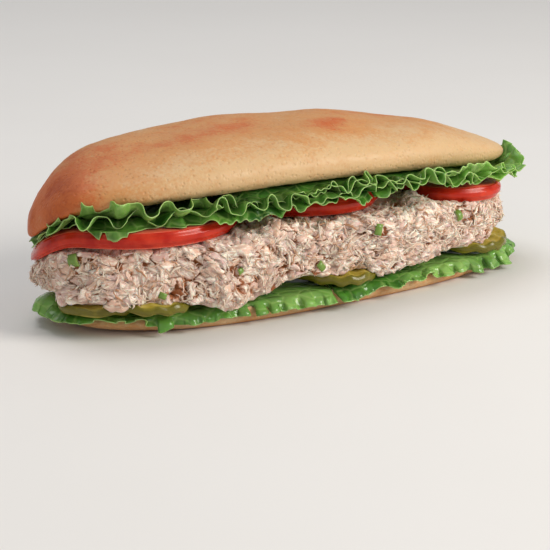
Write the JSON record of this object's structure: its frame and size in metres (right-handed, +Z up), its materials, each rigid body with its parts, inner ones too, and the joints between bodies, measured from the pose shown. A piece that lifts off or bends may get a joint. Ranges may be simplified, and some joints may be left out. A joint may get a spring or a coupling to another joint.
{
  "type": "submarine sandwich",
  "caption": "Long filled bread roll with fish salad, tomato slices, crinkle-cut pickles and frilled lettuce showing along its side.",
  "frame": {"origin": "centre of the face that the heel rests on, below the middle of the roll's length as the salad and bread lie", "axes": "+X along the roll towards its narrower end, -Y towards the side shown, +Z up"},
  "size_m": [0.1913, 0.0772, 0.0584],
  "materials": {
    "heel_crust": "matt baked bread crust",
    "crown_crust": "soft satin baked bread crust",
    "tomato": "wet, glossy tomato",
    "pickle": "wet pickled cucumber",
    "lettuce": "satin leaf",
    "fish_salad": "moist flaked fish in dressing"
  },
  "bodies": {
    "root": {"heel": "heel_crust", "crown": "crown_crust", "tomato_left": "tomato", "tomato_middle": "tomato", "tomato_right": "tomato", "pickle_left_end": "pickle", "pickle_left": "pickle", "pickle_middle": "pickle", "pickle_right": "pickle", "pickle_back_left": "pickle", "pickle_back_middle": "pickle", "pickle_back_right": "pickle", "lettuce_lower_left": "lettuce", "lettuce_lower_right": "lettuce", "fish_salad": "fish_salad", "lettuce_upper_left": "lettuce", "lettuce_upper_right": "lettuce", "lettuce_upper_middle": "lettuce"}
  },
  "joints": []
}
